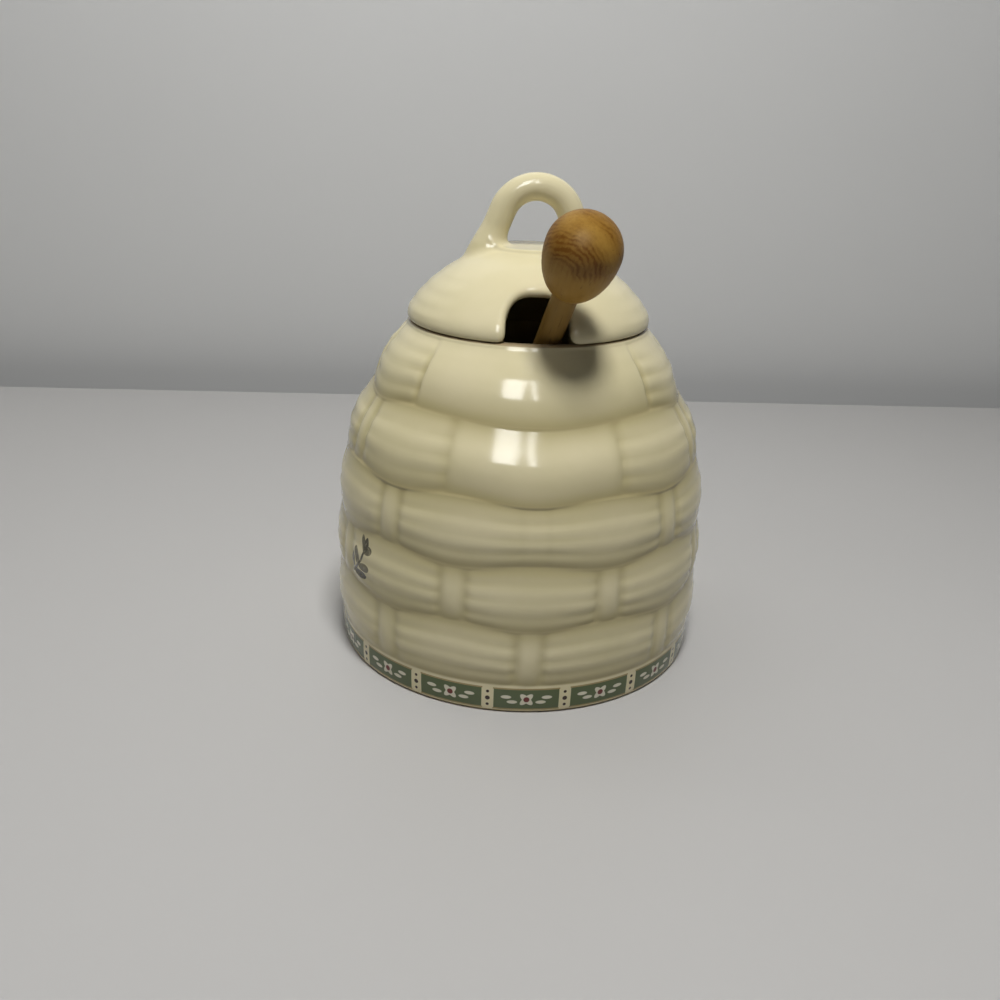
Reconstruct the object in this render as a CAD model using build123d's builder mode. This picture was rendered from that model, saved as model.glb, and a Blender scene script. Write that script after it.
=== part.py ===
from build123d import *

import os
from math import acos, atan2, cos, degrees, radians, sin, sqrt, tan

os.makedirs("parts", exist_ok=True)

# Honey pot shaped like a woven straw hive: stoneware pot, loose lid with a
# loop grip and a front notch, and a wooden dipper standing in the notch.
# Millimetres.  The foot stands on z = 0, +Z is up, -Y is the front.

# ---- pot: overall ------------------------------------------------------
pot_radius = 55.8          # widest groove radius of the woven wall
rim_height = 99.0          # top of the mouth, where the lid sits
wall = 5.4                 # glazed wall thickness behind the grooves
mouth_radius = 31.0        # clear opening of the mouth
rim_land = 3.4             # width of the flat seat round the mouth
rim_round = 1.0            # rounding of both edges of the seat
clear = 0.3                # working gap between separate bodies

# ---- pot: foot ---------------------------------------------------------
foot_band = 8.7            # height of the plain band above the table
foot_tuck = 0.8            # the foot stands in from the widest groove
foot_edge = 1.2            # rounding of the bottom edge
foot_ring = 5.5            # width of the unglazed ring it stands on
base_recess = 2.2          # hollow under the base inside the ring
recess_slope = 1.6         # run of the sloping side of that hollow
floor_thickness = 5.0
floor_corner = 10.0        # inside radius where the floor turns up

# ---- pot: woven rows, bottom to top ------------------------------------
# groove under and over each row, as shares of the height from the foot
# band to the rim and of the widest radius
groove_share = (0.0, 0.197, 0.388, 0.586, 0.795)
groove_radius = (0.993, 0.996, 0.981, 0.943, 0.808)
bundle_swell = (1.5, 1.6, 1.8, 2.2, 1.9)   # bundle out from the wall behind
upright_drop = 0.5         # an upright stands this much lower than a bundle
root_depth = 0.5           # bundles and uprights start this far in the wall
segments = 8               # bundles in each row
strands = 4                # straws in a bundle, each shown as one flat
upright_angle = 9.0         # an upright seen from the axis
crease_angle = 1.3         # crease on each side of an upright
row_gap = 0.5              # strip of body left bare at each groove
upright_flats = 2          # an upright's curve, in flats

# ---- lid ---------------------------------------------------------------
lid_radius = mouth_radius + 4.3
lid_edge = 1.5             # rounding under the lid's rim
rim_turn = 1.3             # the dome turns down into the rim this far in
rim_bow = 0.5              # how far that turn stands out from its chord
lid_shell = 4.8
flange_depth = 6.0
flange_wall = 3.0
flange_gap = 1.4           # round the flange, so the lid can be tipped out
hub_radius = 10.5          # flat top under the loop
hub_height = 20.4          # from the rim of the pot to the flat top
dome_drop = 41.2           # centre of the dome's ball below the flat top
notch_side = 2.7           # room beside the stick in the notch
notch_room = 1.2           # the notch ends this far in front of the stick's back
notch_flare = 1.5          # each side, where the notch meets the rim
flare_run = 3.0            # how far in from the rim that flare reaches
notch_corner = 5.4
loop_tube = 7.7            # thickness of the loop
loop_radius = 10.7         # of the centre line round the top
loop_shoulder = 6.6        # centre of that round above the flat top
loop_shift = 0.9           # the loop was set on a little to the right
leg_spread = 5.2           # outward run of a leg down into the dome
leg_root = 6.0             # how far a leg runs below the flat top

# ---- dipper ------------------------------------------------------------
rod_diameter = 7.0
rod_cross_x = 2.8          # where the rod passes the rim, right of centre
rod_hug = 0.56             # share of the rod's diameter behind the mouth's edge
foot_x = -0.335            # foot of the axis, as shares of the inner radius
foot_y = 0.66
knob_rise = 30.4           # knob centre along the axis above the rim
knob_diameter = 19.4
knob_length = 24.6
knob_lip = 0.55            # flat left round the stick at the knob's lower end
knob_round = 1.8           # rounding of the knob's lower end
knob_bore_depth = 9.0
head_length = 34.0
head_diameter = 27.5
head_nose = 19.0           # diameter of the end discs
head_discs = 7
disc_share = 0.52          # of each pitch, the rest is groove
head_core = 11.0
head_bore_depth = 14.0

# ---- worked out --------------------------------------------------------
row_rise = rim_height - foot_band
foot_radius = pot_radius - foot_tuck
grooves = [
    (pot_radius * r, foot_band + row_rise * s)
    for s, r in zip(groove_share, groove_radius)
]
shoulder_radius = mouth_radius + rim_land + rim_round
grooves.append((shoulder_radius, rim_height - rim_round))
floor_height = base_recess + floor_thickness


def swelled(low, high, out, count):
    """Points from low to high on a curve that stands out from their chord."""
    run, rise = high[0] - low[0], high[1] - low[1]
    span = sqrt(run * run + rise * rise)
    points = []
    for n in range(count + 1):
        share = n / count
        off = 4 * out * share * (1 - share) / span
        points.append(
            (low[0] + run * share + off * rise, low[1] + rise * share - off * run)
        )
    return points


def set_in(low, high, gap, depth):
    """Ends of the chord low-high drawn in by gap and sunk by depth."""
    run, rise = high[0] - low[0], high[1] - low[1]
    span = sqrt(run * run + rise * rise)
    step = (run * gap / span, rise * gap / span)
    sink = (-rise * depth / span, run * depth / span)
    return (
        (low[0] + step[0] + sink[0], low[1] + step[1] + sink[1]),
        (high[0] - step[0] + sink[0], high[1] - step[1] + sink[1]),
    )


# ---- pot ---------------------------------------------------------------
inner = [(r - wall, z) for r, z in (grooves[2], grooves[4])]
neck_top = rim_height - rim_land - rim_round
ring_inner = foot_radius - foot_edge - foot_ring
corner_low = (grooves[0][0] - wall - floor_corner, floor_height)
corner_high = (grooves[0][0] - wall, floor_height + floor_corner)
corner_mid = (
    corner_low[0] + floor_corner * sin(radians(45)),
    corner_high[1] - floor_corner * cos(radians(45)),
)

with BuildPart() as pot:
    with BuildSketch(Plane.XZ) as pot_section:
        with BuildLine() as pot_outline:
            foot_out = (foot_radius, foot_edge)
            Polyline(
                (0, floor_height),
                (0, base_recess),
                (ring_inner - recess_slope, base_recess),
                (ring_inner, 0),
                (foot_radius - foot_edge, 0),
                foot_out,
                *grooves,
                (shoulder_radius - rim_round, rim_height),
                (mouth_radius + rim_round, rim_height),
                (mouth_radius, rim_height - rim_round),
                (mouth_radius, neck_top),
            )
            Polyline(
                (mouth_radius, neck_top),
                *reversed(inner),
                corner_high,
                corner_mid,
                corner_low,
                (0, floor_height),
            )
        make_face()
    revolve(axis=Axis.Z)

step = 360 / segments
bundle_arc = step - upright_angle
upright_arc = upright_angle - 2 * crease_angle
rows = list(zip(grooves[:-1], grooves[1:], bundle_swell))
top_row = len(rows) - 1

for index, (low, high, swell) in enumerate(rows):
    turn = step / 2 * (index % 2)
    start, end = set_in(low, high, row_gap, root_depth)
    drop = swell - upright_drop
    # arc, stand-out, flats, middle of the first one, how many, first turned by
    pieces = [
        (bundle_arc, swell, strands, turn + step / 2, segments, 0),
        (upright_arc, drop, upright_flats, turn, segments, 0),
    ]
    if index == top_row:
        # at the front of the top row two bundles run on as one wide panel
        pieces = [
            (bundle_arc + step, swell, strands, 0, 1, 0),
            (bundle_arc, swell, strands, step / 2, segments - 2, step),
            (upright_arc, drop, upright_flats, 0, segments - 1, step),
        ]
    for arc, proud, flats, middle, count, begin in pieces:
        with BuildPart() as strand:
            with BuildSketch(Plane.XZ.rotated((0, 0, middle - 90 - arc / 2))):
                with BuildLine():
                    Polyline(
                        *swelled(start, end, proud + root_depth, flats),
                        (end[0] - wall / 2, end[1]),
                        (start[0] - wall / 2, start[1]),
                        start,
                    )
                make_face()
            revolve(axis=Axis.Z, revolution_arc=arc)
        with pot:
            with PolarLocations(0, count, begin, count * step):
                add(strand.part)

pot.part.label = "pot"
export_step(pot.part, "parts/pot.step")

# ---- the stick's line, which the notch follows -------------------------
inner_radius = grooves[0][0] - wall
rim_cross = Vector(
    rod_cross_x,
    -(mouth_radius - clear - rod_diameter * rod_hug),
    rim_height,
)
foot_point = Vector(inner_radius * foot_x, inner_radius * foot_y, floor_height)
lean = (rim_cross - foot_point).normalized()

# ---- lid ---------------------------------------------------------------
hub_top = rim_height + hub_height
# the dome is part of a ball centred on the axis, through the hub's edge
dome_centre = hub_top - dome_drop
dome_round = sqrt(hub_radius * hub_radius + dome_drop * dome_drop)


def dome_height(radius, inset=0.0):
    """Height at radius of the dome, or of a shell inset under it."""
    return dome_centre + sqrt((dome_round - inset) ** 2 - radius * radius)


flange_radius = mouth_radius - flange_gap
stick_back = -rim_cross.Y - rod_diameter / 2
notch_back = stick_back + notch_room
notch_depth = lid_radius - notch_back
notch_width = 2 * (rod_cross_x + rod_diameter / 2 + notch_side)

with BuildPart() as lid:
    with BuildSketch(Plane.XZ) as lid_section:
        with BuildLine():
            hub_edge = (hub_radius, hub_top)
            dome_mid = (hub_radius + lid_radius) / 2
            turn_radius = lid_radius - rim_turn
            turn_in = (turn_radius, dome_height(turn_radius))
            edge = (lid_radius, rim_height + lid_edge)
            hollow_radius = flange_radius - flange_wall
            hollow_edge = (hollow_radius, dome_height(hollow_radius, lid_shell))
            hollow_mid = hollow_radius / 2
            hollow_top = (0, dome_height(0, lid_shell))
            Line((0, hub_top), hub_edge)
            ThreePointArc(hub_edge, (dome_mid, dome_height(dome_mid)), turn_in)
            ThreePointArc(turn_in, swelled(edge, turn_in, rim_bow, 2)[1], edge)
            Polyline(
                edge,
                (lid_radius - lid_edge, rim_height),
                (flange_radius, rim_height),
                (flange_radius, rim_height - flange_depth),
                (hollow_radius, rim_height - flange_depth),
                hollow_edge,
            )
            ThreePointArc(
                hollow_edge,
                (hollow_mid, dome_height(hollow_mid, lid_shell)),
                hollow_top,
            )
            Line(hollow_top, (0, hub_top))
        make_face()
    revolve(axis=Axis.Z)
    with BuildSketch(Plane.XY.offset(rim_height - flange_depth)):
        with Locations((0, -lid_radius)):
            Rectangle(notch_width, 2 * (notch_depth + flange_wall))
    extrude(amount=flange_depth, mode=Mode.SUBTRACT)
    with BuildSketch(Plane.XY.offset(rim_height)):
        with Locations((0, -notch_back - notch_depth)):
            RectangleRounded(notch_width, 2 * notch_depth, notch_corner)
        with Locations((0, -lid_radius)):
            Trapezoid(
                notch_width + 2 * notch_flare,
                2 * flare_run,
                degrees(atan2(flare_run, notch_flare)),
            )
    extrude(amount=hub_height, mode=Mode.SUBTRACT)

bow_centre = hub_top + loop_shoulder
hips = [(loop_shift + side * loop_radius, bow_centre) for side in (-1, 1)]
leg_feet = [
    (loop_shift + side * (loop_radius + leg_spread), hub_top - leg_root)
    for side in (-1, 1)
]

with lid:
    with BuildLine(Plane.XZ) as bow:
        left_leg = TangentArc(hips[0], leg_feet[0], tangent=(0, -1))
        ThreePointArc(hips[0], (loop_shift, bow_centre + loop_radius), hips[1])
        TangentArc(hips[1], leg_feet[1], tangent=(0, -1))
    with BuildSketch(Plane(origin=left_leg @ 1, z_dir=left_leg % 1)):
        Circle(loop_tube / 2)
    sweep(path=bow.wires()[0])

lid.part.label = "lid"
export_step(lid.part, "parts/lid.step")

# ---- dipper ------------------------------------------------------------
tilt = acos(lean.Z)
knob_centre = rim_cross + lean * knob_rise
pitch = head_length / head_discs
head_swell = head_diameter - head_nose
disc_radii = [
    (head_nose + head_swell * sin(radians(180 * (n + 1 / 2) / head_discs))) / 2
    for n in range(head_discs)
]
nose_lift = max(
    clear / cos(tilt) + radius * tan(tilt) - pitch * n
    for n, radius in enumerate(disc_radii)
)
nose = foot_point + lean * nose_lift
side = Vector(0, 0, 1).cross(lean).normalized()
profile_plane = Plane(origin=nose, x_dir=side, z_dir=side.cross(lean))
axis = Axis(nose, lean)
reach = (knob_centre - nose).length
rod_radius = rod_diameter / 2

head_outline = []
for number, radius in enumerate(disc_radii):
    base = pitch * number
    head_outline += [
        (radius, base),
        (radius, base + pitch * disc_share),
        (head_core / 2, base + pitch * disc_share),
        (head_core / 2, base + pitch),
    ]

with BuildPart() as dipper_head:
    with BuildSketch(profile_plane) as head_section:
        with BuildLine():
            Polyline(
                (0, 0),
                *head_outline,
                (rod_radius, head_length),
                (rod_radius, head_length - head_bore_depth),
                (0, head_length - head_bore_depth),
                close=True,
            )
        make_face()
    revolve(axis=axis)

dipper_head.part.label = "dipper_head"
export_step(dipper_head.part, "parts/dipper_head.step")

rod_start = head_length - head_bore_depth
knob_start = reach - knob_length / 2
rod_end = knob_start + knob_bore_depth

with BuildPart() as dipper_rod:
    with BuildSketch(profile_plane) as rod_section:
        with Locations((rod_radius / 2, (rod_start + rod_end) / 2)):
            Rectangle(rod_radius, rod_end - rod_start)
    revolve(axis=axis)

dipper_rod.part.label = "dipper_rod"
export_step(dipper_rod.part, "parts/dipper_rod.step")

# the knob is half a ball over a cone with a rounded lower end
belly = knob_diameter / 2
belly_at = knob_start + knob_length - belly
low_end = knob_start + knob_round
low_radius = rod_radius + knob_lip + knob_round
# the cone's side touches the ball at the waist
low_drop = belly_at - low_end
touch = acos(belly / sqrt(low_radius * low_radius + low_drop * low_drop))
slant = atan2(low_drop, low_radius) - touch
waist = (belly * cos(slant), belly_at - belly * sin(slant))
round_in = (1 - sin(radians(45))) * knob_round

with BuildPart() as dipper_knob:
    with BuildSketch(profile_plane) as knob_section:
        with BuildLine():
            ThreePointArc(
                waist,
                (belly * cos(radians(45)), belly_at + belly * sin(radians(45))),
                (0, belly_at + belly),
            )
            Polyline(
                (0, belly_at + belly),
                (0, rod_end),
                (rod_radius, rod_end),
                (rod_radius, knob_start),
                (low_radius - knob_round, knob_start),
            )
            ThreePointArc(
                (low_radius - knob_round, knob_start),
                (low_radius - round_in, knob_start + round_in),
                (low_radius, low_end),
            )
            Line((low_radius, low_end), waist)
        make_face()
    revolve(axis=axis)

dipper_knob.part.label = "dipper_knob"
export_step(dipper_knob.part, "parts/dipper_knob.step")
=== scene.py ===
from math import cos, pi, radians, sin, sqrt

import bmesh
import bpy
from mathutils import Matrix, Vector


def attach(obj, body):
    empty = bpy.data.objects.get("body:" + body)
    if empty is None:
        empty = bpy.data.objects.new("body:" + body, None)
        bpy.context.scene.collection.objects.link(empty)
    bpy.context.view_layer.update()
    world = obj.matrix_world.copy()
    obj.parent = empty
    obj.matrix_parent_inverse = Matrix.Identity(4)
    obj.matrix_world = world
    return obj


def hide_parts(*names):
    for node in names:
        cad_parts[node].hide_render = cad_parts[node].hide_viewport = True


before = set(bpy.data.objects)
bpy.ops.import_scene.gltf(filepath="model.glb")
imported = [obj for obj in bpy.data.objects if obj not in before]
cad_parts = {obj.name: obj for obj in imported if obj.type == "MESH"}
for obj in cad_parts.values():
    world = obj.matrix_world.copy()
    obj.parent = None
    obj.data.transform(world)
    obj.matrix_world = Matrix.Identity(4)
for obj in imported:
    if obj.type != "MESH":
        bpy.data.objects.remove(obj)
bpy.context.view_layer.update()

# A honey pot in glazed stoneware, shaped like a woven straw hive, with a
# loose lid and a wooden dipper.  Sizes below are in millimetres; everything
# built is in metres.  -Y is the front, +Z is up, the foot stands on z = 0.
MM = 0.001

# ---- pot -----------------------------------------------------------------
RIM_HEIGHT = 99.0
MOUTH_RADIUS = 31.0
BAND_RADIUS = 55.3                       # the plain band at the foot
BAND_HEIGHT = 8.7
FOOT_RING_OUT = 54.0                     # the flat ring it stands on
FOOT_RING_IN = 49.0
# the groove under each row and over the last: radius, height
GROOVES = (
    (BAND_RADIUS, BAND_HEIGHT),
    (55.75, 26.49),
    (54.9, 43.74),
    (52.8, 61.62),
    (45.3, 80.49),
    (35.1, 98.0),
)
ROW_SWELL = (1.0, 1.05, 1.4, 2.0, 1.6)   # how far each row swells past its grooves
COLUMNS = 480                            # mesh columns round the pot
COURSES = 28                             # mesh courses in each row
ROW_DROOP = 0.92                         # under 1, a row is fullest below its middle
ROW_SOFT = 1.4                           # over 1, the grooves between rows are softer
# degrees each way from the front, within the first no upright shows and past
# the second all do; in the third row from the top they are faint, not gone
TOP_BARE = (58.0, 60.0)
SECOND_BARE = (44.0, 46.0)
THIRD_BARE = (15.0, 16.0)
THIRD_FAINT = 0.85

# ---- printed border on the foot band -------------------------------------
BORDER_PANELS = 16
BORDER_MIDDLE = 4.55       # height of the middle of the panels
PANEL_HALF = 3.1           # half the height of a panel
PANEL_INSET = 1.7          # from the middle of a gap to the panel
LINE_OFF = 3.3             # the ochre lines over and under, from the middle
LINE_INSET = 1.5           # from the middle of a gap to the end of the lines
LINE_HALF = 0.22           # half the width of a line
PETAL = (2.35, 0.95)       # half length, half width
FLOWER_EYE = 0.85
LEAF = (1.45, 0.55)
LEAF_SPOTS = ((4.0, 0.85), (5.7, -0.7))                   # out, down
GAP_DOTS = ((0.0, 0.68), (2.1, 0.46), (-2.1, 0.46))       # height, radius
FOOT_LINE = (0.6, 0.18)                                   # height, half width
PRINT_FROM = (52.0, 52.5)  # nothing is printed nearer the axis than this

# ---- printed sprig on the wall -------------------------------------------
SPRIG_TURN = 57.0          # degrees, to the left of the front
SPRIG_RADIUS = 46.0        # less than the wall's, so it is drawn that much wider
SPRIG_SQUEEZE = 0.86       # under 1, it is drawn taller
SPRIG_HEIGHT = 34.9
SPRIG_TILT = 32.0          # degrees
SPRIG_BOW = 0.035          # how much the stem bends
SPRIG_REACH = 12.0         # nothing of it is farther than this from its middle
STEM_HALF = (0.36, 4.6)    # half width, half length
STEM_DOWN = 1.2            # the stem's middle is this far down from the sprig's
# leaves: along the stem, out from it, half width, half length, ink
SPRIG_LEAVES = (
    (-3.4, 2.2, 1.2, 2.4, 1.0),
    (-0.4, 2.1, 1.1, 2.2, 0.85),
    (4.2, 1.0, 1.0, 2.1, 0.9),
)
LEAF_TURN = 0.9            # radians, how far a leaf leans out from the stem
BUD = (4.7, 1.0, 1.9)      # along the stem, half width, half length

# ---- lid -----------------------------------------------------------------
LID_RADIUS = 35.3
CROWN_ROUND = 42.5         # the dome is part of a ball this big
HUB_TOP = 119.4            # flat top under the loop
HUB_RADIUS = 10.5
LID_SHELL = 3.7
LEG_LEAN = 22.0            # degrees, the loop's legs lean out from upright
# under its lip the notch is cut straight through to the front: how far out
# from the axis each cut starts, how far over the rim it ends
NOTCH_CUTS = ((21.5, 0.6), (24.4, 5.0))
NOTCH_FLARE = 0.9          # how much wider each way it ends at the rim
# the block of clay that the lid is cut from, in metres
BLOCK_LOW = (-0.0372, -0.0372, 0.0912)
BLOCK_HIGH = (0.0372, 0.0372, 0.1422)
BLOCK_TALL = 0.6855        # its height over its width

# ---- dipper --------------------------------------------------------------
ROD_AT_RIM = Vector((3.5, -26.78, 99.0))
ROD_FOOT = Vector((-16.753, 33.007, 7.2))
NOSE_LIFT = 7.52           # the head's end above that foot, along the stick
ROD_RADIUS = 3.5
ROD_WAIST = 0.12           # thinner by this much in the middle
HEAD_LENGTH = 34.0
HEAD_DISCS = 7
DISC_SHARE = 0.52          # of the pitch, the rest is groove
DISC_ENDS = 19.0           # diameter towards the ends of the head
DISC_SWELL = 8.5           # how much more in its middle
HEAD_CORE = 5.5
KNOB_RISE = 31.8           # knob centre above the rim, along the stick
KNOB_RADIUS = 9.75
KNOB_NECK = 15.0           # from the widest place down to the small end
KNOB_CROWN = 9.6           # and up to the round end
LEAN = (ROD_AT_RIM - ROD_FOOT).normalized()
NOSE = ROD_FOOT + LEAN * NOSE_LIFT
STICK = Matrix.Translation(NOSE * MM) @ LEAN.to_track_quat("Z", "Y").to_matrix().to_4x4()
REACH = (ROD_AT_RIM + LEAN * KNOB_RISE - NOSE).length      # knob centre from the nose

# ---- colours -------------------------------------------------------------
CREAM = (0.66, 0.597, 0.347)
CREAM_DEEP = (0.41, 0.345, 0.17)       # glaze pooled in a groove, and painted shade in the grooves and low in each row
CREAM_THIN = (0.74, 0.665, 0.43)       # glaze drawn thin over an edge
SPECK = (0.16, 0.105, 0.055)
BARE_CLAY = (0.50, 0.40, 0.28)
SEAM_SHADE = (0.30, 0.215, 0.12)        # painted shade in the seam where lid and rim touch
BAND_GREEN = (0.095, 0.125, 0.05)
BAND_OCHRE = (0.36, 0.27, 0.11)
BAND_CREAM = (0.70, 0.66, 0.52)
BAND_RED = (0.16, 0.025, 0.02)
BAND_DARK = (0.035, 0.018, 0.012)
SPRIG_INK = (0.03, 0.026, 0.01)
TABLE_PAINT = (0.52, 0.51, 0.495)
WALL_PAINT = (0.74, 0.74, 0.725)

# ---- finishes ------------------------------------------------------------
GLAZE_IOR = 1.52
GLAZE_ROUGHNESS = 0.13
POOL_AND_SHADE_DEPTH = 0.85          # share of the deep colour where pooled glaze and painted shade are strongest
SPECK_EDGE = (0.035, 0.06) # a speck's edge, in cells of the pattern
SPECK_DRAW = (0.86, 0.9)   # only cells whose draw is this high hold a speck
SEAM_SHADE_SHARE = 0.85          # how strong the painted shade is at the seam
WOOD_ROUGHNESS = 0.46
WOOD_SHEEN = 0.25          # specular level of oiled wood

# ---- studio, in metres ---------------------------------------------------
STAGE_HALF = 3.0
TABLE_BACK = 0.262
WALL_Y = 0.3
WALL_SPAN = (-0.6, 2.5)
# lamps that light: name, spot, aim, size, power
ROOM_LAMPS = (
    ("overhead", (0.02, -0.235, 0.69), (0, -0.04, 0.09), 0.14, 3.8),
    ("ceiling", (-0.75, -0.3, 0.85), (0, 0.05, 0.1), 0.7, 0.8),
    ("back_fill", (-0.25, 0.26, 0.60), (0, 0, 0.1), 0.4, 0.7),
)
# lamps that only glint in the glaze: name, degrees from the front, width, power
WINDOWS = (("window_left", -15.0, 0.36, 9.0), ("window_right", 4.0, 0.085, 2.2))
WINDOW_AIM = Vector((0, -0.045, 0.085))
WINDOW_AWAY = 1.5
WINDOW_UP = radians(44)
WINDOW_HEIGHT = 0.72
ROOM_TINT = (0.93, 0.96, 1.0, 1.0)
ROOM_LIGHT = 0.035
CAMERA_SPOT = (-0.023403, -0.286920, 0.157296)
CAMERA_TURN = radians(3.45)
CAMERA_DIP = radians(21.90)
CAMERA_ROLL = radians(2.20)
CAMERA_LENS = 35.5
CAMERA_SENSOR = 36.0


# ---- nodes ---------------------------------------------------------------
class Term:
    """A number in a node tree.  Arithmetic on it adds the nodes that do it."""

    def __init__(self, tree, socket):
        self.tree, self.socket = tree, socket

    def done(self, operation, *others, clamp=False):
        node = self.tree.nodes.new("ShaderNodeMath")
        node.operation, node.use_clamp = operation, clamp
        for place, value in zip(node.inputs, (self, *others)):
            feed(self.tree, place, value)
        return Term(self.tree, node.outputs[0])

    def __add__(self, other):
        return self.done("ADD", other)

    def __sub__(self, other):
        return self.done("SUBTRACT", other)

    def __rsub__(self, other):
        return self.done("MULTIPLY_ADD", -1.0, other)

    def __mul__(self, other):
        return self.done("MULTIPLY", other)

    def __truediv__(self, other):
        return self.done("DIVIDE", other)

    def __pow__(self, other):
        return self.done("POWER", other)

    def __neg__(self):
        return self.done("MULTIPLY", -1.0)

    __radd__, __rmul__ = __add__, __mul__

    def clamped(self):
        return self.done("ADD", 0.0, clamp=True)

    def eased(self, low, high, start=0.0, end=1.0):
        """Goes smoothly from start to end while the term goes from low to high."""
        node = self.tree.nodes.new("ShaderNodeMapRange")
        node.interpolation_type = "SMOOTHSTEP"
        for name, value in zip(
            ("Value", "From Min", "From Max", "To Min", "To Max"),
            (self, low, high, start, end),
        ):
            feed(self.tree, node.inputs[name], value)
        return Term(self.tree, node.outputs["Result"])


def feed(tree, place, value):
    """Joins a term or an output to an input, or sets the input."""
    if isinstance(value, Term):
        tree.links.new(value.socket, place)
    elif isinstance(value, bpy.types.NodeSocket):
        tree.links.new(value, place)
    else:
        place.default_value = value


def add(tree, kind, inputs=(), **settings):
    """Adds a node, with its settings and its inputs by name or number."""
    node = tree.nodes.new(kind)
    for name, value in settings.items():
        setattr(node, name, value)
    for name, value in dict(inputs).items():
        feed(tree, node.inputs[name], value)
    return node


def split(tree, vector):
    """The three parts of a vector, as terms."""
    parts = add(tree, "ShaderNodeSeparateXYZ", {"Vector": vector})
    return [Term(tree, out) for out in parts.outputs]


def joined(tree, x, y, z):
    return add(tree, "ShaderNodeCombineXYZ", {"X": x, "Y": y, "Z": z}).outputs[0]


def length(x, y):
    return (x * x + y * y).done("SQRT")


def blend(first, second, share):
    """first where share is 0, second where it is 1."""
    return first + (second - first) * share


def round_min(first, second, soft):
    """The smaller of two terms, with a fillet where they meet."""
    return first.done("SMOOTH_MIN", second, soft)


def round_max(first, second, soft):
    return first.done("SMOOTH_MAX", second, soft)


def new_tree(name, sizes, with_mesh):
    """A geometry tree with named inputs.  Returns it, its input node and its
    sizes as terms."""
    tree = bpy.data.node_groups.new(name, "GeometryNodeTree")
    face = tree.interface
    face.new_socket("Geometry", in_out="OUTPUT", socket_type="NodeSocketGeometry")
    if with_mesh:
        face.new_socket("Geometry", in_out="INPUT", socket_type="NodeSocketGeometry")
    for label, value in sizes.items():
        kind = "NodeSocketInt" if isinstance(value, int) else "NodeSocketFloat"
        face.new_socket(label, in_out="INPUT", socket_type=kind)
    entry = tree.nodes.new("NodeGroupInput")
    terms = {label: Term(tree, entry.outputs[label]) for label in sizes}
    return tree, entry, terms


def close_tree(tree, geometry, material):
    """Ends a tree: real mesh, shaded smooth, in its own material."""
    real = add(tree, "GeometryNodeRealizeInstances", {"Geometry": geometry})
    smooth = add(tree, "GeometryNodeSetShadeSmooth", {"Geometry": real.outputs[0]})
    coat = add(tree, "GeometryNodeSetMaterial", {"Geometry": smooth.outputs[0]})
    coat.inputs["Material"].default_value = material
    out = tree.nodes.new("NodeGroupOutput")
    tree.links.new(coat.outputs[0], out.inputs[0])


def grown(name, start, tree, sizes):
    """Runs a tree on a start mesh, uses that up and gives back a plain mesh."""
    seed = bpy.data.objects.new(name + "_seed", start)
    bpy.context.scene.collection.objects.link(seed)
    modifier = seed.modifiers.new("grow", "NODES")
    modifier.node_group = tree
    for item in tree.interface.items_tree:
        if item.in_out == "INPUT" and item.name in sizes:
            modifier[item.identifier] = sizes[item.name]
    now = bpy.context.evaluated_depsgraph_get()
    made = bpy.data.meshes.new_from_object(seed.evaluated_get(now))
    made.name = name
    seed.modifiers.remove(modifier)
    bpy.data.objects.remove(seed)
    bpy.data.meshes.remove(start)
    return made


def placed(name, mesh, body, *nodes, slot):
    """Makes a finished piece that rides on its body and stands for its nodes."""
    piece = bpy.data.objects.new(name, mesh)
    bpy.context.scene.collection.objects.link(piece)
    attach(piece, body)
    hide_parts(*nodes)


# ---- materials -----------------------------------------------------------
def new_material(name):
    """A material with an empty tree, its coordinates and its shader."""
    material = bpy.data.materials.new(name)
    material.use_nodes = True
    tree = material.node_tree
    tree.nodes.clear()
    shader = tree.nodes.new("ShaderNodeBsdfPrincipled")
    out = tree.nodes.new("ShaderNodeOutputMaterial")
    tree.links.new(shader.outputs[0], out.inputs[0])
    where = tree.nodes.new("ShaderNodeTexCoord").outputs["Object"]
    return material, tree, shader, where


def noise(tree, where, scale, detail=2.0, roughness=0.5):
    inputs = {"Vector": where, "Scale": scale, "Detail": detail, "Roughness": roughness}
    return Term(tree, add(tree, "ShaderNodeTexNoise", inputs).outputs[0])


def pool_and_shade_share(tree):
    """How thick the glaze lies, with painted shade added on the pot, 0 to 1, as the mesh holds
    it.
    """
    return Term(tree, add(tree, "ShaderNodeAttribute", attribute_name="pool_and_shade").outputs["Fac"])


def tinted(tree, share, first, second):
    """A colour between two colours or outputs."""
    node = add(tree, "ShaderNodeMix", data_type="RGBA")
    for place, value in ((0, share), (6, first), (7, second)):
        if isinstance(value, tuple):
            value = (*value, 1.0)
        feed(tree, node.inputs[place], value)
    return node.outputs[2]


def bumped(tree, shader, height, strength, distance):
    inputs = {"Height": height, "Strength": strength, "Distance": distance}
    bump = add(tree, "ShaderNodeBump", inputs)
    tree.links.new(bump.outputs[0], shader.inputs["Normal"])


def glaze_colour(tree, where, pool_and_shade):
    """Cream glaze: cloudy, deeper where it pools and where shade is painted, with a few iron
    specks.
    """
    cloud = noise(tree, where, 38.0, 3.0, 0.55)
    mottle = noise(tree, where, 420.0, 2.0, 0.5)
    shade = ((cloud - 0.38) * 1.6 + (mottle - 0.5) * 0.2 + pool_and_shade).clamped()
    base = tinted(tree, shade, CREAM_THIN, CREAM)
    # the deep colour stands for pooled glaze and for painted shade
    base = tinted(tree, (pool_and_shade * POOL_AND_SHADE_DEPTH).clamped(), base, CREAM_DEEP)
    cells = add(
        tree,
        "ShaderNodeTexVoronoi",
        {"Vector": where, "Scale": 120.0, "Randomness": 1.0},
    )
    draw = add(tree, "ShaderNodeSeparateColor", {"Color": cells.outputs["Color"]}).outputs[0]
    speck = Term(tree, cells.outputs["Distance"]).eased(*SPECK_EDGE, 1.0, 0.0)
    speck = speck * Term(tree, draw).eased(*SPECK_DRAW) * 0.75
    return tinted(tree, speck, base, SPECK)


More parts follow.
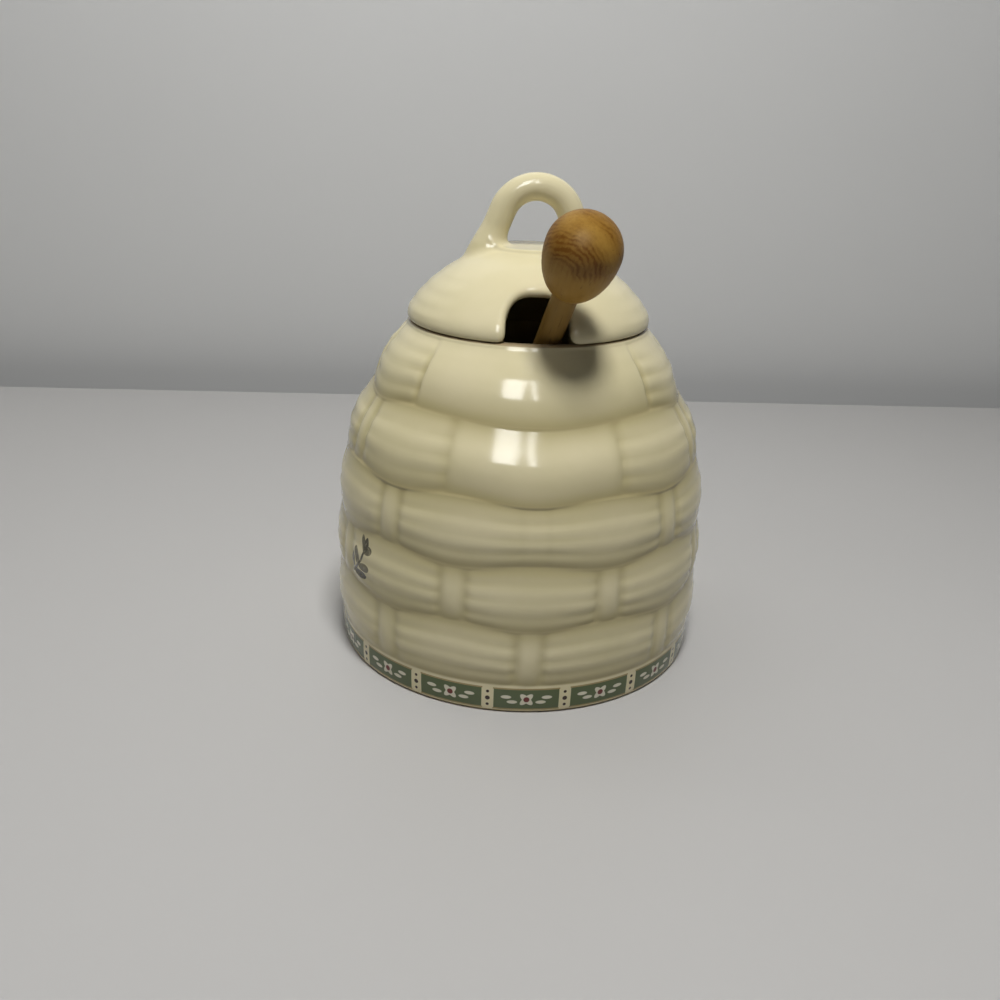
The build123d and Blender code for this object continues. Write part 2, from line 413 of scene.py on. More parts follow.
def glaze_gloss(tree, shader, where):
    """The gloss of a fired glaze, very slightly uneven."""
    shader.inputs["IOR"].default_value = GLAZE_IOR
    ripple = noise(tree, where, 260.0, 2.0, 0.4)
    feed(tree, shader.inputs["Roughness"], GLAZE_ROUGHNESS + (ripple - 0.5) * 0.06)
    wave = noise(tree, where, 90.0, 2.0, 0.45)
    bumped(tree, shader, wave, 0.25, 0.0004)


def inside(distance, soft=0.06):
    """1 where a distance is below zero, with a soft printed edge."""
    return distance.eased(-soft, soft, 1.0, 0.0)


def oval(x, y, wide, high):
    """Distance to an oval, near enough for a small print."""
    return (length(x / wide, y / high) - 1.0) * min(wide, high)


def border(tree, colour, angle, up, outside):
    """The foot band's border: panels of green between fine ochre lines."""
    pitch = 2 * pi * BAND_RADIUS / BORDER_PANELS
    half = pitch / 2
    cell = ((angle * BAND_RADIUS / pitch + 0.5).done("FRACT") - 0.5) * pitch
    side = cell.done("ABSOLUTE")
    rise = up - BORDER_MIDDLE
    tall = rise.done("ABSOLUTE")

    def printed(distance, ink):
        return tinted(tree, inside(distance) * outside, colour, ink)

    panel = inside(side - (half - PANEL_INSET)) * inside(tall - PANEL_HALF) * outside
    colour = tinted(tree, panel, colour, BAND_GREEN)
    line = inside((tall - LINE_OFF).done("ABSOLUTE") - LINE_HALF)
    line = inside(side - (half - LINE_INSET)) * line * outside
    colour = tinted(tree, line, colour, BAND_OCHRE)
    # in each panel a four-petalled flower between two pairs of leaves
    for lean in (radians(45), radians(-45)):
        petal_x = cell * cos(lean) + rise * sin(lean)
        petal_y = rise * cos(lean) - cell * sin(lean)
        colour = printed(oval(petal_x, petal_y, *PETAL), BAND_CREAM)
    colour = printed(oval(cell, rise, FLOWER_EYE, FLOWER_EYE), BAND_RED)
    for reach, drop in LEAF_SPOTS:
        colour = printed(oval(side - reach, rise + drop, *LEAF), BAND_CREAM)
    # between panels three dots in a column
    for height, size in GAP_DOTS:
        colour = printed(oval(half - side, rise - height, size, size), BAND_DARK)
    foot, foot_half = FOOT_LINE
    return printed((up - foot).done("ABSOLUTE") - foot_half, BAND_OCHRE)


def sprig(tree, colour, where, angle, up, outside):
    """A small printed sprig on the second row up, to the left."""
    sprig_x = (angle + radians(SPRIG_TURN)) * SPRIG_RADIUS
    sprig_y = (up - SPRIG_HEIGHT) * SPRIG_SQUEEZE
    tilt = radians(SPRIG_TILT)
    along = sprig_x * sin(tilt) + sprig_y * cos(tilt)
    across = sprig_x * cos(tilt) - sprig_y * sin(tilt) + along * along * SPRIG_BOW
    flip = across.done("ABSOLUTE")
    stem_wide, stem_long = STEM_HALF
    stem = (along + STEM_DOWN).done("ABSOLUTE") - stem_long
    ink = inside((flip - stem_wide).done("MAXIMUM", stem))
    for rise, reach, wide, high, shade in SPRIG_LEAVES:
        dx, dy = flip - reach, along - rise
        u = dx * sin(LEAF_TURN) + dy * cos(LEAF_TURN)
        v = dx * cos(LEAF_TURN) - dy * sin(LEAF_TURN)
        ink = ink.done("MAXIMUM", inside(oval(v, u, wide, high)) * shade)
    bud, wide, high = BUD
    ink = ink.done("MAXIMUM", inside(oval(across, along - bud, wide, high)))
    near = inside(length(along, across) - SPRIG_REACH) * outside
    wear = noise(tree, where, 900.0).eased(0.25, 0.5, 0.75, 1.0)
    return tinted(tree, ink * near * wear * 0.95, colour, SPRIG_INK)


def pot_glaze():
    """Glaze of the pot, with the prints on it, painted shade on the rim top under the lid and
    bare clay at the foot.
    """
    material, tree, shader, where = new_material("cream_glaze_pot")
    x, y, z = split(tree, where)
    radius, up, angle = length(x, y) / MM, z / MM, x.done("ARCTAN2", -y)
    outside = radius.eased(*PRINT_FROM)
    colour = glaze_colour(tree, where, pool_and_shade_share(tree))
    colour = border(tree, colour, angle, up, outside)
    colour = sprig(tree, colour, where, angle, up, outside)
    # painted shade: the rim top is darkened brown for the seam under the lid's edge
    seam_shade = up.eased(RIM_HEIGHT - 0.55, RIM_HEIGHT - 0.2)
    colour = tinted(tree, seam_shade * SEAM_SHADE_SHARE, colour, SEAM_SHADE)
    bare = up.eased(0.15, 0.45, 1.0, 0.0) * inside(FOOT_RING_IN - 1.0 - radius)
    feed(tree, shader.inputs["Base Color"], tinted(tree, bare, colour, BARE_CLAY))
    glaze_gloss(tree, shader, where)
    return material


def lid_glaze():
    """Glaze of the lid, with painted shade where it sits on the rim."""
    material, tree, shader, where = new_material("cream_glaze_lid")
    x, y, z = split(tree, where)
    colour = glaze_colour(tree, where, pool_and_shade_share(tree))
    # painted shade on the lid's ring that sits on the rim
    seam_shade = inside((z / MM - RIM_HEIGHT).done("ABSOLUTE") - 0.3)
    seam_shade = seam_shade * inside(MOUTH_RADIUS + 0.3 - length(x, y) / MM)
    feed(tree, shader.inputs["Base Color"], tinted(tree, seam_shade * SEAM_SHADE_SHARE, colour, SEAM_SHADE))
    glaze_gloss(tree, shader, where)
    return material


def turned_wood(name, pale, dark, middle, band, lowest, spacing, strength):
    """Oiled hardwood, its fine grain along the stick.  Its growth rings stand
    round a middle, given across and up; they are dark in a band, given as its
    radius and width, above the lowest height."""
    material, tree, shader, where = new_material(name)
    turn = LEAN.to_track_quat("Z", "Y").inverted()
    on_axis = add(tree, "ShaderNodeMapping", {"Vector": where})
    on_axis.inputs["Location"].default_value = turn @ (-ROD_AT_RIM * MM)
    on_axis.inputs["Rotation"].default_value = turn.to_euler()
    x, y, z = split(tree, on_axis.outputs[0])
    wx, wy, wz = split(tree, where)

    drift = noise(tree, where, 60.0, 2.0, 0.5)
    swirl = noise(tree, where, 330.0, 3.0, 0.6)
    out = length(wx - middle[0] * MM, wz - middle[1] * MM) / MM
    ring = out + wy / MM * 0.25 + (drift - 0.5) * 7.0 + (swirl - 0.5) * 2.4
    wave = (ring / spacing * 2 * pi).done("SINE") * 0.5 + 0.5
    dark_radius, dark_width = band
    off_band = ((out - dark_radius) / dark_width).done("ABSOLUTE")
    patch = (drift - off_band * 0.25).eased(0.12, 0.42)
    patch = patch * (wz / MM).eased(lowest - 2.0, lowest + 2.0)
    patch = patch.done("MAXIMUM", out.eased(dark_radius + 5.8, dark_radius + 8.0, 0.0, 0.7))
    worn = noise(tree, where, 260.0, 2.0, 0.5).eased(0.35, 0.6, 0.25, 1.0)
    wave = (wave ** 1.4 * worn * 0.55 + 0.5) * patch * strength

    streak = noise(tree, joined(tree, x * 9.0, y * 9.0, z * 0.55), 110.0, 3.0, 0.6)
    cloud = noise(tree, on_axis.outputs[0], 90.0, 2.0, 0.5)
    share = (wave + (streak - 0.5) * 0.7 + (cloud - 0.45) * 0.8).clamped()
    pores = noise(tree, joined(tree, x * 16.0, y * 16.0, z * 0.8), 160.0, 1.0, 0.5)
    pore = pores.eased(0.66, 0.76)
    colour = tinted(tree, share, pale, dark)
    colour = tinted(tree, pore * 0.35, colour, tuple(c * 0.35 for c in dark))
    feed(tree, shader.inputs["Base Color"], colour)
    shader.inputs["Specular IOR Level"].default_value = WOOD_SHEEN
    rough = WOOD_ROUGHNESS + (streak - 0.5) * 0.2 + pore * 0.15
    feed(tree, shader.inputs["Roughness"], rough)
    bumped(tree, shader, streak * 0.5 - pore, 0.3, 0.0002)
    return material


# ---- woven wall ----------------------------------------------------------
def weave_tree(material, sizes):
    """Weaves rows of straw bundles and uprights over a line of grooves."""
    tree, entry, size = new_tree("woven_straw_wall", sizes, True)
    line = entry.outputs["Geometry"]
    points = add(tree, "GeometryNodeAttributeDomainSize", {"Geometry": line}, component="MESH")
    rows = Term(tree, points.outputs["Point Count"]) - 1.0
    grid = add(
        tree,
        "GeometryNodeMeshGrid",
        {
            "Size X": 1.0,
            "Size Y": 1.0,
            "Vertices X": size["Columns"] + 1.0,
            "Vertices Y": size["Courses"] * rows + 1.0,
        },
    )
    spot = add(tree, "GeometryNodeInputPosition").outputs[0]
    gx, gy, _ = split(tree, spot)
    turn = gx + 0.5
    climb_all = (gy + 0.5) * rows
    row = (climb_all + 0.0001).done("FLOOR").done("MINIMUM", rows - 1.0)
    share = (climb_all - row).clamped()
    # courses crowd towards the grooves
    climb = share - (share * 2 * pi).done("SINE") * (0.5 / (2 * pi))

    def sampled(kind, value, index):
        inputs = {"Geometry": line, "Index": index}
        node = add(tree, "GeometryNodeSampleIndex", inputs, data_type=kind)
        feed(tree, node.inputs["Value"], value)
        return node.outputs["Value"]

    low_r, _, low_z = split(tree, sampled("FLOAT_VECTOR", spot, row))
    high_r, _, high_z = split(tree, sampled("FLOAT_VECTOR", spot, row + 1.0))
    carried = add(tree, "GeometryNodeInputNamedAttribute", {"Name": "swell"}, data_type="FLOAT")
    swell = Term(tree, sampled("FLOAT", carried.outputs[0], row))

    # where the point stands across its bundle: 0 on an upright, 0.5 between;
    # every other row is set on by half a bundle
    odd = (row * 0.5).done("FRACT")
    place = turn * size["Bundles"] + odd
    local = (place + 0.5).done("FRACT") - 0.5
    away = local.done("ABSOLUTE")
    front = ((turn + 0.5).done("FRACT") - 0.5).done("ABSOLUTE") * 360.0

    # at the front the two upper rows are plain panels: a crease ends each
    # panel and no upright shows until the next one round the pot
    top, second, third = (row.done("COMPARE", rows - down, 0.5) for down in (1.0, 2.0, 3.0))
    past = front - blend(size["Lower Panel"], size["Upper Panel"], top)
    has_panel = top + second
    panel = has_panel * past.eased(-1.5, 0.5, 1.0, 0.0)
    by_both = front.eased(*SECOND_BARE, 1.0, 0.0)
    hidden = top * front.eased(*TOP_BARE, 1.0, 0.0) + second * by_both
    shown = 1.0 - hidden - third * front.eased(*THIRD_BARE, THIRD_FAINT, 0.0)
    # up to the middle of the bundle beside it, straws start at the panel's end
    middle = blend(45.0, 67.5, top)
    by_panel = has_panel * (front - middle).eased(-0.5, 0.5, 1.0, 0.0)

    half = size["Upright Share"] * 0.5
    soft = size["Crease Share"]
    upright = away.eased(half - soft, half + soft, 1.0, 0.0) * shown
    from_crease = (away - half) / soft
    crease = (-(from_crease * from_crease)).done("EXPONENT") * shown
    line_off = past / blend(2.3, 1.3, top)
    panel_end = (-(line_off * line_off)).done("EXPONENT") * (top * 1.25 + second * 0.6)
    crease = crease.done("MAXIMUM", panel_end)

    # a row is fullest a little below its middle, as a coil of straw hangs
    hump = (climb ** ROW_DROOP * pi).done("SINE").done("MAXIMUM", 0.0) ** ROW_SOFT
    bundle_number = place.done("FLOOR").done("FLOORED_MODULO", size["Bundles"]) + row * 17.0
    draw = add(
        tree,
        "FunctionNodeRandomValue",
        {"Seed": size["Seed"], "ID": bundle_number},
        data_type="FLOAT",
    )
    luck = Term(tree, draw.outputs["Value"])
    # straws: rounded ridges, stronger towards the ends of a bundle; their
    # unevenness is read on a circle, so it meets itself round the pot
    angle = turn * 2 * pi
    side_x, side_y = angle.done("SINE"), angle.done("COSINE")

    def uneven(reach_out, rise_up):
        circle = joined(tree, side_x * reach_out, side_y * reach_out, rise_up)
        return noise(tree, circle, 1.0, 1.0, 0.4)

    bend = uneven(1.45, row * 5.0 + climb * 1.6)
    straws = size["Strands"] * (climb + (bend - 0.5) * 0.09)
    ridge = (0.5 - (straws * 2 * pi).done("COSINE") * 0.5) ** 0.8
    ends = blend((away - half).done("MAXIMUM", 0.0), past.done("MAXIMUM", 0.0) / 45.0, by_panel)
    worn = uneven(2.5, row * 3.0 + climb * 3.0)
    strength = 0.55 + ends.eased(0.0, 0.3, 0.35, 0.0) + (luck - 0.5) * 0.4 + (worn - 0.5) * 0.8
    strength = strength * (1.2 - climb * 0.7) * (1.0 + top * 0.7) * (1.0 - panel * 0.96)
    straw = (ridge - 0.6) * size["Strand Depth"] * strength * hump ** 0.25
    round_end = (-(ends / 0.045)).done("EXPONENT") * (shown + by_panel).clamped()
    round_end = round_end * (1.0 - panel)
    bundle = swell * hump * (1.0 - round_end * 0.2) + straw
    across = (away / half).done("MINIMUM", 1.0)
    stake = (swell - size["Upright Drop"]) * hump ** 0.8 * (1.0 - across * across * 0.12)
    out = blend(bundle, stake, upright) - crease * size["Crease Depth"] * hump ** 0.5

    # the rows sag between the uprights they hang from; the groove between the
    # two panels hangs in one arch, a quarter turn wide
    over = (local * 2 * pi).done("COSINE")
    arch = -(front * radians(4.0)).done("COSINE")
    low_sag = blend(over, arch, by_both * top) * row.eased(0.0, 0.5)
    high_sag = blend(-over, arch, by_both * second) * (1.0 - top)
    slide = blend(low_sag, high_sag, climb) * size["Sag"]

    run, rise = high_r - low_r, high_z - low_z
    span = length(run, rise)
    reach = low_r + run * climb + rise / span * out + run / span * slide
    height = low_z + rise * climb - run / span * out + rise / span * slide
    target = joined(tree, reach * side_x, -(reach * side_y), height)

    # glaze pools in the grooves, the creases and the valleys between straws, and these are
    # deepened further with painted shade
    valley = (1.0 - ridge) ** 2.0 * strength * (1.0 - upright)
    # painted shade: the term on (1 - climb) makes each row darker towards its bottom
    pool_and_shade = (1.0 - hump) ** 2.0 * 0.8 + (1.0 - climb) ** 2.0 * 0.3 + crease * 0.35 + valley * 0.3
    pool_and_shade = pool_and_shade * (1.0 - top * climb.eased(0.6, 0.85)) * ((row + climb) * 25.0).clamped()
    kept = add(
        tree,
        "GeometryNodeStoreNamedAttribute",
        {"Geometry": grid.outputs["Mesh"], "Name": "pool_and_shade", "Value": pool_and_shade.clamped()},
        data_type="FLOAT",
        domain="POINT",
    )
    inputs = {"Geometry": kept.outputs[0], "Position": target}
    moved = add(tree, "GeometryNodeSetPosition", inputs)
    inputs = {"Geometry": moved.outputs[0], "Distance": 1e-6}
    welded = add(tree, "GeometryNodeMergeByDistance", inputs)
    close_tree(tree, welded.outputs[0], material)
    return tree


def groove_line():
    """The grooves as a line of points that carries each row's swell."""
    line = bpy.data.meshes.new("groove_line")
    points = [(r * MM, 0.0, z * MM) for r, z in GROOVES]
    line.from_pydata(points, [(n, n + 1) for n in range(len(points) - 1)], [])
    swell = line.attributes.new("swell", "FLOAT", "POINT")
    for item, value in zip(swell.data, (*ROW_SWELL, 0.0)):
        item.value = value * MM
    return line


def arc(centre, radius, start, end, steps):
    """Points on an arc of the profile, angles in degrees from outward."""
    points = []
    for n in range(steps + 1):
        a = radians(start + (end - start) * n / steps)
        points.append((centre[0] + radius * cos(a), centre[1] + radius * sin(a)))
    return points


def turned(bm, profile, columns):
    """Adds a skin turned from a profile, closed where that meets the axis."""
    rings = []
    for r, z in profile:
        if r < 1e-6:
            rings.append([bm.verts.new((0.0, 0.0, z * MM))])
            continue
        ring = []
        for n in range(columns):
            a = 2 * pi * n / columns
            ring.append(bm.verts.new((r * sin(a) * MM, -r * cos(a) * MM, z * MM)))
        rings.append(ring)
    for low, high in zip(rings[:-1], rings[1:]):
        for n in range(columns):
            m = (n + 1) % columns
            corners = [low[n % len(low)], low[m % len(low)]]
            corners += [high[m % len(high)], high[n % len(high)]]
            corners = list(dict.fromkeys(corners))
            if len(corners) > 2:
                bm.faces.new(corners)


def finished(bm, name, material):
    """Writes the mesh with its faces outward and shaded smooth."""
    bmesh.ops.remove_doubles(bm, verts=bm.verts, dist=2e-6)
    bmesh.ops.recalc_face_normals(bm, faces=bm.faces)
    for face in bm.faces:
        face.smooth, face.material_index = True, 0
    mesh = bpy.data.meshes.new(name)
    bm.to_mesh(mesh)
    bm.free()
    mesh.materials.append(material)
    return mesh


def make_pot():
    """The woven wall, closed by the foot below it and by rim and inside above."""
    glaze = pot_glaze()
    sizes = {
        "Bundles": 8,
        "Strands": 4,
        "Columns": COLUMNS,
        "Courses": COURSES,
        "Seed": 4,
        "Upright Share": 0.165,
        "Crease Share": 0.034,
        "Upright Drop": 0.1 * MM,
        "Crease Depth": 0.46 * MM,
        "Strand Depth": 0.34 * MM,
        "Sag": 0.9 * MM,
        "Upper Panel": 46.0,
        "Lower Panel": 27.0,
    }
    woven = grown("woven_wall", groove_line(), weave_tree(glaze, sizes), sizes)
    # foot band, the ring it stands on and the hollow under the base
    below = [
        GROOVES[0],
        (BAND_RADIUS, BAND_HEIGHT - 0.7),
        (BAND_RADIUS, 5.0),
        (BAND_RADIUS - 0.15, 2.2),
        *arc((FOOT_RING_OUT - 0.2, 1.2), 1.2, 0, -90, 5),
        (FOOT_RING_IN + 0.8, 0.0),
        (FOOT_RING_IN - 0.1, 0.35),
        (FOOT_RING_IN - 1.4, 2.0),
        (FOOT_RING_IN - 2.4, 2.2),
        (30.0, 2.35),
        (12.0, 2.4),
        (0.0, 2.4),
    ]
    # rim, mouth, and the inside down to the floor
    neck = RIM_HEIGHT - 4.4
    above = [
        GROOVES[-1],
        *arc((GROOVES[-1][0] - 1.0, RIM_HEIGHT - 1.0), 1.0, 22, 90, 3),
        (MOUTH_RADIUS + 1.0, RIM_HEIGHT),
        *arc((MOUTH_RADIUS + 1.0, RIM_HEIGHT - 1.0), 1.0, 120, 180, 2),
        (MOUTH_RADIUS, neck + 0.6),
        (MOUTH_RADIUS + 0.6, neck - 0.6),
        (39.4, 80.9),
        (40.3, 79.4),
        (48.6, 46.6),
        (49.3, 43.7),
        (50.0, 19.0),
        *arc((40.01, 17.2), 10.0, 0, -90, 7),
        (26.0, 7.0),
        (0.0, 6.9),
    ]
    bm = bmesh.new()
    turned(bm, reversed(below), COLUMNS)
    turned(bm, above, COLUMNS)
    bm.from_mesh(woven)
    bpy.data.meshes.remove(woven)
    mesh = finished(bm, "pot_woven", glaze)
    placed("pot_woven", mesh, "pot", "pot", slot="pot_glaze")


# ---- lid -----------------------------------------------------------------
def lid_tree(material, sizes):
    """Shapes the lid as one body of clay: a measure of depth in the clay is
    worked out through space and skinned where it is zero, so that every joint
    between its parts has the fillet a wet hand leaves."""
    tree, _, size = new_tree("domed_lid", sizes, False)
    spot = add(tree, "GeometryNodeInputPosition").outputs[0]
    x, y, z = split(tree, spot)
    x, y, z = x / MM, y / MM, z / MM
    radius = length(x, y)

    # dome: a ball cut flat on top and trimmed to a rounded rim
    ball = length(radius, z - size["Ball Height"]) - size["Ball Radius"]
    hub = z - size["Hub Top"]
    dome = round_max(ball, hub, size["Hub Round"])
    pad = round_max(radius - size["Pad Radius"], hub - size["Pad Rise"], 1.4)
    dome = round_min(dome, pad, 1.6)
    rim = round_max(radius - size["Rim Radius"], size["Rim Height"] - z, size["Rim Round"])
    dome = round_max(dome, rim, size["Brow Round"])

    # loop: half a ring whose ends run on as straight legs, spread like an A
    # and thickening into the dome.  One side is worked out and mirrored.
    lean = radians(LEG_LEAN)
    lx = (x - size["Loop Shift"]).done("ABSOLUTE")
    bow_z = z - size["Loop Height"]
    ring = (length(lx, bow_z) - size["Loop Radius"]).done("ABSOLUTE")
    along = lx * sin(lean) - bow_z * cos(lean)
    off = lx * cos(lean) + bow_z * sin(lean) - size["Loop Radius"]
    leg = length(off, (along - size["Leg Length"]).done("MAXIMUM", 0.0))
    middle = blend(ring, leg, along.eased(-0.02, 0.02))
    flare = along.eased(4.0, 13.0) * size["Leg Flare"]
    loop = length(middle, y) - size["Loop Tube"] * 0.5 - flare
    clay = round_min(dome, loop, size["Loop Blend"])

    # flange that drops into the mouth
    flange = (radius - size["Flange Radius"]).done("MAXIMUM", size["Flange Foot"] - z)
    flange = flange.done("MAXIMUM", z - size["Rim Height"] - 2.0)
    clay = round_min(clay, flange, 0.8)

    # straws run round the sides of the dome, worn away at its front and back
    climb = (z - size["Rim Height"]) / size["Strand Height"]
    side = (x.done("ABSOLUTE") / radius.done("MAXIMUM", 1.0)).eased(0.6, 0.9)
    above_rim = z - size["Rim Height"]
    band = above_rim.eased(2.0, 4.0) * above_rim.eased(13.0, 15.0, 1.0, 0.0)
    clay = clay - (climb * 2 * pi).done("COSINE") * side * band * size["Strand Depth"]

    # hollow: a smaller ball, and the bore of the flange
    hollow = length(radius, z - size["Ball Height"]) - (size["Ball Radius"] - size["Shell"])
    bore = radius - (size["Flange Radius"] - size["Flange Wall"])
    hollow = round_max(hollow, bore, 3.0)
    clay = round_max(clay, -hollow, 1.0)

    # notch for the stick, its lip rolled over; its back is cut square to the
    # dome, and it widens where it comes out at the rim
    beside = (x - size["Notch Shift"]).done("ABSOLUTE")
    nx = beside - (size["Notch Width"] * 0.5 - size["Notch Corner"])
    sloped = y * size["Ball Radius"] / length(radius, z - size["Ball Height"])
    ny = sloped + size["Notch Back"] + size["Notch Corner"]
    corner = length(nx.done("MAXIMUM", 0.0), ny.done("MAXIMUM", 0.0))
    corner = corner + nx.done("MAXIMUM", ny).done("MINIMUM", 0.0)
    notch = corner - size["Notch Corner"] - (-y - 32.0).eased(0.0, 4.0) * NOTCH_FLARE
    clay = round_max(clay, -notch, size["Lip Round"])
    # rim and flange are cut away across the notch's full width
    wide = beside - size["Notch Width"] * 0.5 + 0.2
    for reach, over in NOTCH_CUTS:
        gap = wide.done("MAXIMUM", y + reach).done("MAXIMUM", above_rim - over)
        clay = round_max(clay, -gap, 0.6)

    depth = -clay
    resolution = size["Resolution"]
    cube = add(
        tree,
        "GeometryNodeVolumeCube",
        {
            "Density": depth,
            "Background": -5.0,
            "Min": BLOCK_LOW,
            "Max": BLOCK_HIGH,
            "Resolution X": resolution,
            "Resolution Y": resolution,
            "Resolution Z": resolution * BLOCK_TALL,
        },
    )
    inputs = {"Volume": cube.outputs[0], "Threshold": 0.0}
    shape = add(tree, "GeometryNodeVolumeToMesh", inputs).outputs[0]
    normal = add(tree, "GeometryNodeInputNormal").outputs[0]
    for _ in range(2):  # draws each point on to the true surface
        pull = add(tree, "ShaderNodeVectorMath", {0: normal}, operation="SCALE")
        feed(tree, pull.inputs["Scale"], depth * (MM * 0.8))
        inputs = {"Geometry": shape, "Offset": pull.outputs[0]}
        shape = add(tree, "GeometryNodeSetPosition", inputs).outputs[0]
    # glaze pools where the loop grows out of the dome
    fold = ball.done("ABSOLUTE")
    pool_and_shade = fold.eased(0.2, 2.5, 0.0, 0.25) * (z - size["Hub Top"]).eased(0.4, 2.5, 1.0, 0.0)
    shape = add(
        tree,
        "GeometryNodeStoreNamedAttribute",
        {"Geometry": shape, "Name": "pool_and_shade", "Value": pool_and_shade},
        data_type="FLOAT",
        domain="POINT",
    ).outputs[0]
    close_tree(tree, shape, material)
    return tree


def make_lid():
    """The lid: dome, flange, notch and loop in one body of clay."""
    glaze = lid_glaze()
    sizes = {
        "Resolution": 165,
        "Ball Height": HUB_TOP - sqrt(CROWN_ROUND**2 - HUB_RADIUS**2),
        "Ball Radius": CROWN_ROUND,
        "Hub Top": HUB_TOP,
        "Hub Round": 0.9,
        "Pad Radius": 11.0,
        "Pad Rise": 0.7,
        "Rim Radius": LID_RADIUS,
        "Rim Height": RIM_HEIGHT,
        "Rim Round": 3.0,
        "Brow Round": 2.4,
        "Shell": LID_SHELL,
        "Loop Shift": 1.1,
        "Loop Height": HUB_TOP + 6.55,
        "Loop Radius": 10.2,
        "Loop Tube": 7.7,
        "Loop Blend": 5.0,
        "Leg Length": 13.5,
        "Leg Flare": 1.0,
        "Strand Height": 3.6,
        "Strand Depth": 0.06,
        "Flange Radius": 29.6,
        "Flange Wall": 3.0,
        "Flange Foot": RIM_HEIGHT - 6.0,
        "Notch Shift": 0.25,
        "Notch Width": 16.9,
        "Notch Back": 26.3,
        "Notch Corner": 6.3,
        "Lip Round": 4.0,
    }
    start = bpy.data.meshes.new("lid_start")
    mesh = grown("lid_domed", start, lid_tree(glaze, sizes), sizes)
    placed("lid_domed", mesh, "lid", "lid", slot="lid_glaze")


# ---- dipper --------------------------------------------------------------
def on_stick(name, profile, columns, wood, node, slot):
    """A piece turned on the axis of the stick, from the head's nose up."""
    bm = bmesh.new()
    turned(bm, profile, columns)
    bmesh.ops.transform(bm, matrix=STICK, verts=bm.verts)
    placed(name, finished(bm, name, wood), "dipper", node, slot=slot)


def make_head():
    """Discs with rounded edges, grooved down to a core."""
    edge, bevel = 0.5, 0.15
    pitch = HEAD_LENGTH / HEAD_DISCS
    profile = [(0.0, 0.0)]
    for n in range(HEAD_DISCS):
        radius = (DISC_ENDS + DISC_SWELL * sin(pi * (n + 0.5) / HEAD_DISCS)) / 2
        low, high = pitch * n, pitch * (n + DISC_SHARE)
        profile += [
            (HEAD_CORE if n else 0.5, low),
            (radius - edge, low),
            (radius - bevel, low + bevel),
            (radius, low + edge),
            (radius, high - edge),
            (radius - bevel, high - bevel),
            (radius - edge, high),
            (HEAD_CORE + 0.3, high),
            (HEAD_CORE, high + 0.3),
        ]
    profile += [(HEAD_CORE, HEAD_LENGTH), (0.0, HEAD_LENGTH)]
    wood = turned_wood(
        "dipper_head_wood",
        pale=(0.40, 0.25, 0.09),
        dark=(0.22, 0.11, 0.03),
        middle=(-30.0, 0.0),
        band=(40.0, 20.0),
        lowest=-9.0,
        spacing=2.4,
        strength=0.5,
    )
    on_stick("dipper_head_grooved", profile, 96, wood, "dipper_head", "head_wood")


def make_rod():
    """The stick, very slightly waisted in the middle."""
    start, end = HEAD_LENGTH - 3.0, REACH - 8.0
    profile = [(0.0, start)]
    steps = 40
    for n in range(steps + 1):
        t = n / steps
        profile.append((ROD_RADIUS - ROD_WAIST * sin(pi * t), start + (end - start) * t))
    profile.append((0.0, end))
    wood = turned_wood(
        "dipper_rod_wood",
        pale=(0.29, 0.17, 0.04),
        dark=(0.17, 0.085, 0.015),
        middle=(60.0, 0.0),
        band=(80.0, 60.0),
        lowest=-9.0,
        spacing=5.0,
        strength=0.2,
    )
    on_stick("dipper_rod_turned", profile, 64, wood, "dipper_rod", "rod_wood")


def make_knob():
    """An egg with its small end on the stick, a little fuller than an oval."""
    middle, steps = REACH - 0.3, 48
    profile = [(0.0, middle - KNOB_NECK)]
    for n in range(1, steps):
        a = -pi / 2 + pi * n / steps
        length_on, fullness = (KNOB_NECK, 0.96) if sin(a) < 0 else (KNOB_CROWN, 0.97)
        profile.append((KNOB_RADIUS * cos(a) ** fullness, middle + sin(a) * length_on))
    profile.append((0.0, middle + KNOB_CROWN))
    wood = turned_wood(
        "dipper_knob_wood",
        pale=(0.34, 0.19, 0.036),
        dark=(0.15, 0.057, 0.004),
        middle=(0.0, 117.0),
        band=(11.5, 4.6),
        lowest=119.0,
        spacing=1.15,
        strength=1.0,
    )
    on_stick("dipper_knob_egg", profile, 96, wood, "dipper_knob", "knob_wood")


# ---- studio --------------------------------------------------------------
def plain_paint(name, colour):
    """A plain paint, its tone very slightly uneven."""
    material, tree, shader, where = new_material(name)
    tone = noise(tree, where, 6.0, 2.0, 0.5)
    shade = tinted(tree, tone, tuple(c * 0.97 for c in colour), colour)
    feed(tree, shader.inputs["Base Color"], shade)
    shader.inputs["Roughness"].default_value = 0.45
    return material


def make_stage(name, corners, paint):
    """A flat piece of the studio, the table or the wall behind it."""
    mesh = bpy.data.meshes.new(name)
    mesh.from_pydata(corners, [], [(0, 1, 2, 3)])
    mesh.materials.append(paint)
    thing = bpy.data.objects.new(name, mesh)
    bpy.context.scene.collection.objects.link(thing)


def make_studio():
    h, back = STAGE_HALF, TABLE_BACK
    corners = [(-h, -h, 0), (h, -h, 0), (h, back, 0), (-h, back, 0)]
    make_stage("table_top", corners, plain_paint("pale_table", TABLE_PAINT))
    low, high = WALL_SPAN
    corners = [(-h, WALL_Y, low), (h, WALL_Y, low), (h, WALL_Y, high), (-h, WALL_Y, high)]
    make_stage("back_wall", corners, plain_paint("grey_wall", WALL_PAINT))


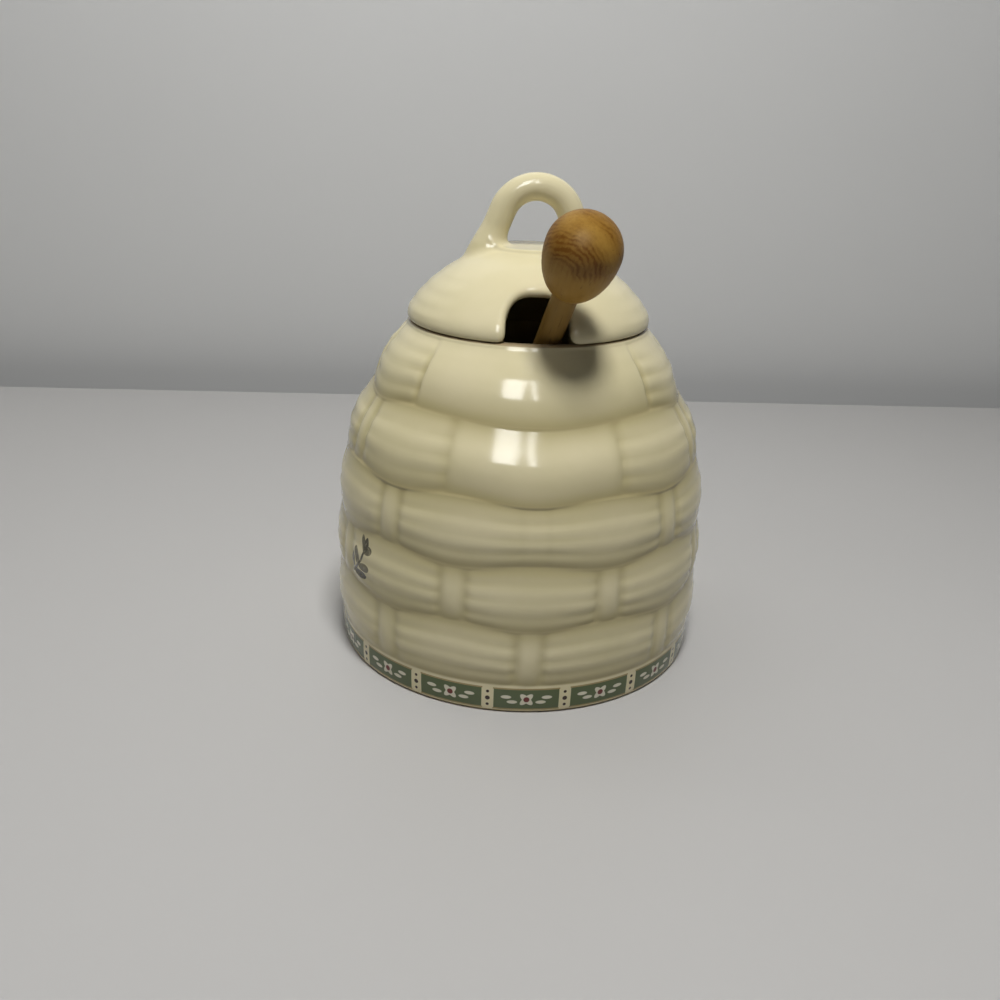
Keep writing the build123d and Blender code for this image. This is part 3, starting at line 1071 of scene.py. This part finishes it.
def lamp(name, spot, aim, size, power, high=None):
    """A flat soft lamp at a spot, turned to an aim."""
    light = bpy.data.lights.new(name, "AREA")
    light.shape = "RECTANGLE"
    light.size, light.size_y = size, high or size
    light.energy = power
    holder = bpy.data.objects.new(name, light)
    holder.location = spot
    way = Vector(aim) - Vector(spot)
    holder.rotation_euler = way.to_track_quat("-Z", "Y").to_euler()
    bpy.context.scene.collection.objects.link(holder)
    return holder


def make_lamps():
    for name, spot, aim, size, power in ROOM_LAMPS:
        lamp(name, spot, aim, size, power).visible_glossy = False
    for name, turn, wide, power in WINDOWS:
        a, up = radians(turn), WINDOW_UP
        away = Vector((sin(a) * cos(up), -cos(a) * cos(up), sin(up))) * WINDOW_AWAY
        window = lamp(name, away + WINDOW_AIM, WINDOW_AIM, wide, power, WINDOW_HEIGHT)
        window.visible_diffuse = False
    world = bpy.data.worlds.new("soft_room")
    world.use_nodes = True
    room = world.node_tree.nodes["Background"]
    room.inputs["Color"].default_value = ROOM_TINT
    room.inputs["Strength"].default_value = ROOM_LIGHT
    bpy.context.scene.world = world


def make_camera():
    camera = bpy.data.objects.new("camera", bpy.data.cameras.new("camera"))
    bpy.context.scene.collection.objects.link(camera)
    turn, dip, roll = CAMERA_TURN, CAMERA_DIP, CAMERA_ROLL
    ahead = Vector((sin(turn) * cos(dip), cos(turn) * cos(dip), -sin(dip)))
    right = Vector((cos(turn), -sin(turn), 0.0))
    up = right.cross(ahead)
    right, up = right * cos(roll) + up * sin(roll), up * cos(roll) - right * sin(roll)
    facing = Matrix((right, up, -ahead)).transposed().to_4x4()
    camera.matrix_world = Matrix.Translation(CAMERA_SPOT) @ facing
    camera.data.lens, camera.data.sensor_width = CAMERA_LENS, CAMERA_SENSOR
    camera.data.clip_start, camera.data.clip_end = 0.01, 20.0
    bpy.context.scene.camera = camera


make_pot()
make_lid()
make_head()
make_rod()
make_knob()
make_studio()
make_lamps()
make_camera()
bpy.context.scene.view_settings.view_transform = "Standard"
